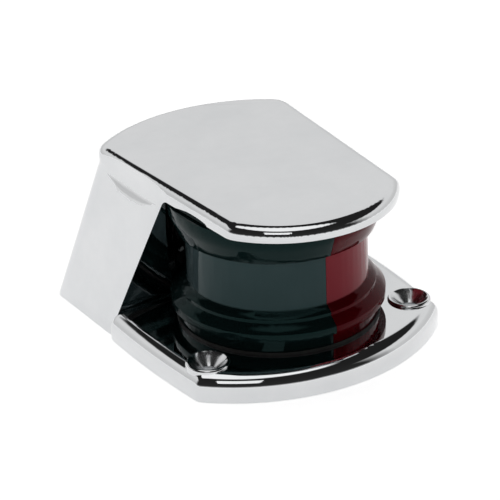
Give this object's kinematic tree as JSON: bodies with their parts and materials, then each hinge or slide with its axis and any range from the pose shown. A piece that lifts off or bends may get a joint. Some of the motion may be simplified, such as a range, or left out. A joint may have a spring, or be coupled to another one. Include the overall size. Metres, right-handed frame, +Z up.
{
  "type": "two-colour boat navigation light",
  "caption": "Chrome deck-mounted bow light with a hooded housing and a spool-shaped lens, green to starboard and red to port, over a bayonet lamp.",
  "frame": {"origin": "on the deck plane, halfway between the two deck screw holes", "axes": "+Z up, -Y forward to the bow, +X to port (the red side)"},
  "size_m": [0.087, 0.1064, 0.0512],
  "materials": {
    "chrome_casting": "polished chrome plate on zinc die casting",
    "green_lens": "clear deep green moulded plastic, glossy",
    "red_lens": "clear deep red moulded plastic, glossy",
    "seal_rubber": "black rubber, matt",
    "black_plastic": "matt black plastic",
    "plate_metal": "rolled sheet, satin",
    "screw_steel": "passivated stainless",
    "socket_brass": "drawn brass, nickel flash worn",
    "rivet_metal": "satin",
    "contact_insulator": "phenolic laminate, matt",
    "plunger_brass": "turned brass",
    "spring_steel": "bright spring wire",
    "tag_metal": "tinned brass",
    "cap_brass": "pressed brass",
    "cap_insulator": "black vitrite glass",
    "solder": "solder, slightly domed",
    "bulb_glass": "clear glass",
    "support_wire": "nickel wire",
    "tungsten": "dark drawn wire"
  },
  "bodies": {
    "root": {"housing": "chrome_casting", "starboard_lens": "green_lens", "port_lens": "red_lens", "lens_seal": "seal_rubber", "roof_seal": "seal_rubber", "light_divider": "black_plastic", "holder_plate": "plate_metal", "clamp_screws": "screw_steel", "socket_shell": "socket_brass", "socket_rivets": "rivet_metal", "contact_carrier": "contact_insulator", "contact_springs": "spring_steel", "solder_tags": "tag_metal"},
    "lamp": {"lamp_cap": "cap_brass", "lamp_pins": "cap_brass", "lamp_insulator": "cap_insulator", "lamp_buttons": "solder", "lamp_glass": "bulb_glass", "lamp_stem": "bulb_glass", "filament_supports": "support_wire", "filament": "tungsten"},
    "plungers": {"contact_plungers": "plunger_brass"}
  },
  "joints": [
    {"name": "lamp_push", "type": "slide", "parent": "root", "child": "lamp", "axis": [0, 0, 1], "range_m": [-0.0016, 0], "stiffness_N_per_m": 1500, "springref_m": 0.004},
    {"name": "plunger_push", "type": "slide", "parent": "root", "child": "plungers", "axis": [0, 0, 1], "range_m": [-0.0016, 0], "deforming": ["contact_springs"]}
  ],
  "couplings": [
    {"joint": "plunger_push", "follows": "lamp_push", "ratio": 1}
  ]
}
